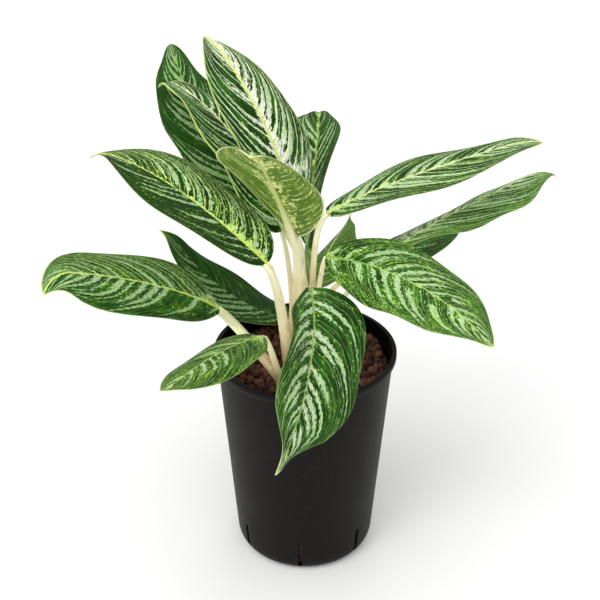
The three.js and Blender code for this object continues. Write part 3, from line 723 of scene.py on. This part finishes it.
@functools.cache
def stalkMaterial():
    # grains are per millimetre, across and along; pairs named At are levels, from none to full
    look = Settings(fibre=(1.6, 0.05), cloud=(0.2, 0.09), lowAt=(0.0, 0.3), middleAt=(0.2, 0.75),
                    lineAt=(0.54, 0.68), fibreAt=(0.36, 0.46), keelAt=(0.98, 1.3),
                    paleAt=(0.5, 0.62))
    # foot and low: darker pinkish-beige for the lower stalks, partly their own tint and partly
    # painted shade
    colour = palette(foot=(220, 178, 132), low=(236, 212, 164), middle=(252, 247, 204),
                     line=(255, 253, 228), keel=(204, 212, 130), green=(104, 138, 64),
                     paleGreen=(184, 206, 132), fibre=(196, 176, 120))
    g = Graph("stalkCream", 0.45, 0.3)
    across, run, upward = g.separate(g.stored("stalkPlace", "Vector"))

    def drawnOut(grain, third, detail, rough):
        place = g.combine(g.times(across, grain[0]), g.times(run, grain[1]), third)
        return g.noise(place, 1.0, detail, rough)

    fibre = drawnOut(look.fibre, upward, 3.0, 0.6)
    cloud = drawnOut(look.cloud, 4.0, 2.0, 0.5)
    # darker pinkish-beige towards the foot, cream above: partly the stalks' own tint, partly
    # painted shade low among the stalks
    level = g.timesPlus(cloud, 0.3, g.minus(upward, 0.15))
    g.paint = g.blend(g.rise(level, *look.lowAt), colour.foot, colour.low)
    g.coat(g.rise(level, *look.middleAt), colour.middle)
    g.coat(g.times(g.rise(fibre, *look.lineAt), 0.6), colour.line)
    g.coat(g.times(g.fall(fibre, *look.fibreAt), 0.45), colour.fibre)
    g.coat(g.rise(upward, *look.keelAt), colour.keel)
    leafy = g.blend(g.rise(fibre, *look.paleAt), colour.green, colour.paleGreen)
    g.coat(g.stored("stalkGreen"), leafy)
    g.bump(fibre, 0.3, 0.6 * mm)
    return g.done()


pot = Settings(height=190.0, lip=75.0, lipHeight=5.0, lipRound=1.2, wallTop=72.3, foot=58.0,
               corner=13.0, wall=1.6, floor=2.4, around=192)
slits = Settings(count=7, first=-94.0, bottom=3.5, top=32.0, width=3.0, reach=30.0)


def wallRadius(z):
    return pot.foot + (pot.wallTop - pot.foot) * z / (pot.height - pot.lipHeight)


def bend(start, corner, end, steps):
    # a quadratic curve from start to end, pulled to the corner
    t = np.linspace(0, 1, steps)[:, None]
    start, corner, end = np.array(start), np.array(corner), np.array(end)
    return (1 - t) ** 2 * start + 2 * (1 - t) * t * corner + t ** 2 * end


def turned(profile, around):
    # a profile of (radius, height) turned round the axis, closed by a fan at each end
    angle = 2 * np.pi * np.arange(around) / around
    rings = np.stack([profile[:, :1] * np.cos(angle), profile[:, :1] * np.sin(angle),
                      profile[:, 1:] + 0 * angle], -1)
    return closedTube(rings * mm)


def spun(angles):
    # a matrix for each angle that turns a row of points about the axis
    c, s, zero = np.cos(angles), np.sin(angles), 0 * angles
    return np.moveaxis(np.array([[c, -s, zero], [s, c, zero], [zero, zero, zero + 1]]), -1, 0)


def buildPot():
    lipFoot = pot.height - pot.lipHeight
    rim, soft, top = pot.lip, pot.lipRound, pot.height
    wall, corner, floor = pot.wall, pot.corner, pot.floor
    foot, bent, low, high = (wallRadius(z) for z in (0, corner, lipFoot, top))
    sides = np.linspace(corner, lipFoot, 40)[1:-1]
    profile = np.concatenate([
        [[2.0, 0.0], [20.0, 0.0]],
        bend((foot - corner, 0.0), (foot, 0.0), (bent, corner), 12),
        np.stack([wallRadius(sides), sides], -1),
        [[low, lipFoot - 0.3], [low + 0.5, lipFoot]],
        bend((rim - soft, lipFoot), (rim, lipFoot), (rim, lipFoot + soft), 6),
        bend((rim, top - soft), (rim, top), (rim - soft, top), 6),
        bend((high - wall + 0.6, top), (high - wall, top), (high - wall, top - 0.6), 5),
        np.stack([wallRadius(sides[::-1]) - wall, sides[::-1]], -1),
        bend((bent - wall, corner), (foot - wall, floor), (foot - corner, floor), 10),
        [[20.0, floor], [2.0, floor]]])
    vertices, quads, fans = turned(profile, pot.around)
    piece = meshObject("pot", vertices, [quads, fans], [potMaterial()])
    # one block for each slit, taken out of the wall
    count, tall = slits.count, slits.top - slits.bottom
    corners = np.array([(x, y, z) for x in (-0.5, 0.5) for y in (-0.5, 0.5) for z in (-0.5, 0.5)])
    corners = corners * (slits.reach, slits.width, tall)
    corners = corners + (foot, 0, slits.bottom + tall / 2)
    angles = np.radians(slits.first + 360.0 * np.arange(count) / count)
    blocks = np.einsum("nij,kj->nki", spun(angles), corners).reshape(-1, 3)
    block = np.array([(0, 1, 3, 2), (4, 6, 7, 5), (0, 4, 5, 1), (2, 3, 7, 6), (0, 2, 6, 4),
                      (1, 5, 7, 3)])
    faces = (block[None] + 8 * np.arange(count)[:, None, None]).reshape(-1, 4)
    cutter = meshObject("slitCutter", blocks * mm, [faces], [], smooth=False)
    cut = piece.modifiers.new("slits", "BOOLEAN")
    cut.object = cutter
    cut.operation = "DIFFERENCE"
    cut.solver = "EXACT"
    depsgraph = bpy.context.evaluated_depsgraph_get()
    finished = bpy.data.meshes.new_from_object(piece.evaluated_get(depsgraph))
    piece.modifiers.clear()
    piece.data = finished
    bpy.data.objects.remove(cutter)
    handOver(piece, "pot", "culture_pot")
    print("pot built:", len(finished.polygons), "faces")


def potMaterial():
    look = Settings(grain=900.0, cloud=22.0, lightAt=(0.35, 0.65), speckAt=(0.62, 0.76), speck=0.4,
                    edge=0.4 * mm)
    # inside: a near-black painted shade for the pot's inner wall, not a different plastic
    colour = palette(dark=(14, 12, 11), light=(25, 22, 21), speck=(62, 56, 54), inside=(7, 6, 6))
    g = Graph("potPlastic", 0.5, 0.1)
    place = g.place()
    grain = g.noise(place, look.grain, 3.0, 0.65)
    cloud = g.noise(place, look.cloud, 3.0, 0.5)
    g.paint = g.blend(g.rise(grain, *look.lightAt), colour.dark, colour.light)
    speck = g.times(g.rise(grain, *look.speckAt), look.speck)
    g.coat(speck, colour.speck)
    # painted shade: the inside, nearer the axis than the middle of the wall, is painted deep black
    # to stand in for the shade within the pot
    x, y, z = g.separate(place)
    radius = g.calc("SQRT", g.plus(g.times(x, x), g.times(y, y)))
    slope = (wallRadius(100.0) - wallRadius(0.0)) / 100.0
    middle = g.timesPlus(z, slope, (wallRadius(0.0) - pot.wall / 2) * mm)
    within = g.fall(g.minus(radius, middle), -look.edge, 0.0)
    # within marks where the painted shade of the inside lies
    g.coat(within, colour.inside)
    g.toShader("Roughness", g.timesPlus(cloud, 0.14, 0.42))
    g.bump(grain, 0.3, 0.4 * mm)
    return g.done()


def stoneShape(segments, rows):
    # a ball of latitude rings with a pole at each end
    polar = np.pi * np.arange(1, rows) / rows
    turn = 2 * np.pi * np.arange(segments) / segments
    ring = np.stack([np.sin(polar)[:, None] * np.cos(turn), np.sin(polar)[:, None] * np.sin(turn),
                     np.cos(polar)[:, None] + 0 * turn], -1)[::-1]
    points = np.concatenate([ring.reshape(-1, 3), [[0, 0, -1], [0, 0, 1]]])
    _, quads, fans = closedTube(ring)
    return points, quads, fans


def buildPebbles():
    # radius: its mean, with its spread and the limits of that; stretch: factors on it along three
    # ways; drop: from layer to layer; jitter: of the places; slitHeights: from, to and step
    pebble = Settings(radius=3.7, spread=0.9, within=(-1.3, 1.2), stretch=(0.72, 1.12), lumps=0.07,
                      spacing=6.9, layers=3, drop=3.4, top=174.5, jitter=0.9,
                      slitHeights=(7.0, 34.0, 5.6), seed=20261, segments=8, rows=6)
    rng = np.random.default_rng(pebble.seed)
    places = []
    for layer in range(pebble.layers):
        z = pebble.top - layer * pebble.drop
        limit = wallRadius(z) - pot.wall - pebble.radius - 0.2
        col, row = np.meshgrid(*[np.arange(-12, 13)] * 2)
        x = (col + 0.5 * (row % 2) + 0.33 * layer) * pebble.spacing
        y = (row + 0.4 * layer) * pebble.spacing * 0.866
        flat = np.stack([x.ravel(), y.ravel()], -1) + rng.normal(0, pebble.jitter, (x.size, 2))
        far = np.hypot(flat[:, 0], flat[:, 1])
        keep = far < limit + 2.2
        flat = flat[keep] * np.minimum(1, limit / far[keep])[:, None]
        height = z + rng.normal(0, pebble.jitter, len(flat))
        places.append(np.column_stack([flat, height]))
    # a few more stand behind each slit of the wall
    for i in range(slits.count):
        z = np.arange(*pebble.slitHeights)
        radius = np.where(z < pot.corner, wallRadius(0) - 9.0 + z * 0.25, wallRadius(z) - 6.4)
        turn = math.radians(slits.first + 360.0 * i / slits.count) + rng.normal(0, 0.03, len(z))
        places.append(np.stack([radius * np.cos(turn), radius * np.sin(turn), z], -1))
    places = np.concatenate(places)
    n = len(places)
    shape, quads, fans = stoneShape(pebble.segments, pebble.rows)
    size = pebble.radius + rng.normal(0, pebble.spread, n).clip(*pebble.within)
    stretch = rng.uniform(*pebble.stretch, (n, 3))
    # each stone: the ball, with every corner moved in or out a little, stretched, turned and placed
    lump = 1 + rng.normal(0, pebble.lumps, (n, len(shape), 1))
    stones = shape[None] * lump * stretch[:, None, :] * size[:, None, None]
    about, lean = spun(rng.uniform(0, 2 * np.pi, n)), spun(rng.uniform(0, np.pi, n))
    lean = np.roll(lean, 1, (1, 2))
    stones = np.einsum("nij,nkj->nki", about @ lean, stones) + places[:, None, :]
    shift = (np.arange(n) * len(shape))[:, None, None]
    faceSets = [(faces[None] + shift).reshape(-1, faces.shape[1]) for faces in (quads, fans)]
    piece = meshObject("pebbles", stones.reshape(-1, 3) * mm, faceSets, [pebbleMaterial()])
    pointValues(piece, "stoneTint", np.repeat(rng.uniform(0, 1, n), len(shape)))
    handOver(piece, "fired_clay", "clay_pebbles")
    # the filling under the top stones, given a dark tint as painted shade in the gaps between them
    top = pebble.top - pebble.layers * pebble.drop
    inset, floor, corner = pot.wall + 0.5, pot.floor + 0.5, pot.corner
    profile = np.array([[2.0, floor], [wallRadius(0) - corner - inset, floor],
                        [wallRadius(corner) - inset - 3.0, corner],
                        [wallRadius(40.0) - inset - 2.5, 40.0],
                        [wallRadius(top) - inset, top], [2.0, top]])
    vertices, quads, fans = turned(profile, 96)
    bed = meshObject("pebbleBed", vertices, [quads, fans], [pebbleMaterial()])
    # one low tint for the whole filling: painted shade, darker than the stones on top
    pointValues(bed, "stoneTint", np.full(len(vertices), 0.1))
    handOver(bed, "fired_clay")
    print("pebbles built:", n, "stones")


@functools.cache
def pebbleMaterial():
    look = Settings(pores=1100.0, patches=260.0, redAt=(0.45, 0.95), paleAt=(0.52, 0.75),
                    poresAt=(0.4, 0.55))
    colour = palette(dark=(50, 31, 26), brown=(102, 64, 53), red=(122, 77, 63),
                     pale=(154, 118, 102))
    g = Graph("firedClay", 0.88, 0.2)
    tint = g.stored("stoneTint")
    place = g.place()
    pores = g.noise(place, look.pores, 3.0, 0.7)
    patch = g.noise(place, look.patches, 2.0, 0.5)
    g.paint = g.blend(tint, colour.dark, colour.brown)
    g.coat(g.rise(tint, *look.redAt), colour.red)
    g.coat(g.times(g.rise(patch, *look.paleAt), 0.5), colour.pale)
    g.coat(g.times(g.fall(pores, *look.poresAt), 0.5), colour.dark)
    g.bump(pores, 0.6, 0.8 * mm)
    return g.done()


def buildStudio():
    studio = Settings(floor=0.97, grain=40.0, dip=0.99, size=14.0, world=0.5, aim=(0, 0, 0.25))
    half = studio.size / 2
    corners = np.array([(-half, -half, 0), (half, -half, 0), (half, half, 0), (-half, half, 0)])
    g = Graph("floorPaper", 0.9, 0.1)
    bright = (studio.floor,) * 3
    g.paint = g.blend(g.noise(g.place(), studio.grain), bright,
                    tuple(studio.dip * value for value in bright))
    floor = meshObject("floor", corners, [np.array([[0, 1, 2, 3]])], [g.done()])
    world = bpy.data.worlds.new("studio")
    world.use_nodes = True
    background = world.node_tree.nodes["Background"]
    background.inputs["Color"].default_value = (1, 1, 1, 1)
    background.inputs["Strength"].default_value = studio.world
    bpy.context.scene.world = world
    # a wide soft sun keeps the floor even; the panels give the gloss and the modelling
    lamps = {
        "softSun": Settings(kind="SUN", at=(-0.3, -1.1, 2.0), size=math.radians(80), power=1.9),
        "key": Settings(kind="AREA", at=(-0.9, -1.1, 1.7), size=0.9, power=9.0),
        "back": Settings(kind="AREA", at=(0.3, 1.4, 1.6), size=1.0, power=5.0),
    }
    for name, lamp in lamps.items():
        data = bpy.data.lights.new(name, lamp.kind)
        data.energy = lamp.power
        if lamp.kind == "SUN":
            data.angle = lamp.size
        else:
            data.size = lamp.size
        light = linked(name, data)
        light.location = lamp.at
        aim = np.array(studio.aim) - np.array(lamp.at)
        light.rotation_euler = (math.acos(-aim[2] / np.linalg.norm(aim)), 0,
                                math.atan2(aim[1], aim[0]) - math.pi / 2)
    view = bpy.context.scene.view_settings
    view.view_transform = "Standard"
    view.look = "None"
    print("studio set")


buildCamera()
for number, leaf in enumerate(leaves):
    buildBlade(leaf, number)
print("blades built:", len(leaves))
for name in canes:
    buildShoot(name)
print("stalks built")
buildPot()
buildPebbles()
buildStudio()
